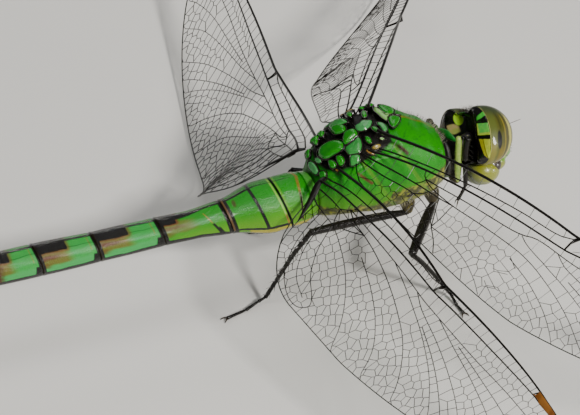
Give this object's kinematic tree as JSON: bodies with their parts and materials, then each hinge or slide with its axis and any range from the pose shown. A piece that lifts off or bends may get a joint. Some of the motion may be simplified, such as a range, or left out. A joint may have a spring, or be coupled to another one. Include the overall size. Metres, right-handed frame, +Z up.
{
  "type": "female eastern pondhawk dragonfly",
  "caption": "Life-size still model of a green female pondhawk dragonfly with spread clear wings, standing on four of its legs, its front legs folded beside the head.",
  "frame": {"origin": "middle of the animal's footprint, on the surface that its feet stand on", "axes": "+X the way the thorax faces, +Y the animal's left, +Z up"},
  "size_m": [0.0506, 0.0676, 0.0127],
  "materials": {
    "eye": "glossy olive compound eye, fine facets, golden bands below",
    "head_shell": "black and yellow-green hard skin, satin",
    "face": "yellow-green hard skin, satin, sparse dark bristles",
    "thorax": "vivid green hard skin with fine dark sutures and short hair",
    "abdomen": "vivid green hard skin, black ridges and joint rings, dark rear marks",
    "leg": "glossy black with long stiff spines",
    "wing": "clear membrane in a net of black veins, amber stigma"
  },
  "bodies": {
    "root": {"abdomen_1": "abdomen", "abdomen_10": "abdomen", "abdomen_2": "abdomen", "abdomen_3": "abdomen", "abdomen_4": "abdomen", "abdomen_5": "abdomen", "abdomen_6": "abdomen", "abdomen_7": "abdomen", "abdomen_8": "abdomen", "abdomen_9": "abdomen", "antenna_left": "head_shell", "antenna_right": "head_shell", "cercus_left": "abdomen", "cercus_right": "abdomen", "eye_left": "eye", "eye_right": "eye", "face": "face", "forewing_left": "wing", "forewing_right": "wing", "head": "head_shell", "hindwing_left": "wing", "hindwing_right": "wing", "leg_front_left_coxa": "leg", "leg_front_left_femur": "leg", "leg_front_left_tarsus": "leg", "leg_front_left_tibia": "leg", "leg_front_right_coxa": "leg", "leg_front_right_femur": "leg", "leg_front_right_tarsus": "leg", "leg_front_right_tibia": "leg", "leg_hind_left_coxa": "leg", "leg_hind_left_femur": "leg", "leg_hind_left_tarsus": "leg", "leg_hind_left_tibia": "leg", "leg_hind_right_coxa": "leg", "leg_hind_right_femur": "leg", "leg_hind_right_tarsus": "leg", "leg_hind_right_tibia": "leg", "leg_middle_left_coxa": "leg", "leg_middle_left_femur": "leg", "leg_middle_left_tarsus": "leg", "leg_middle_left_tibia": "leg", "leg_middle_right_coxa": "leg", "leg_middle_right_femur": "leg", "leg_middle_right_tarsus": "leg", "leg_middle_right_tibia": "leg", "lower_lip": "face", "neck": "head_shell", "prothorax": "thorax", "subgenital_plate": "abdomen", "thorax": "thorax", "upper_lip": "face", "vertex": "head_shell"}
  },
  "joints": []
}
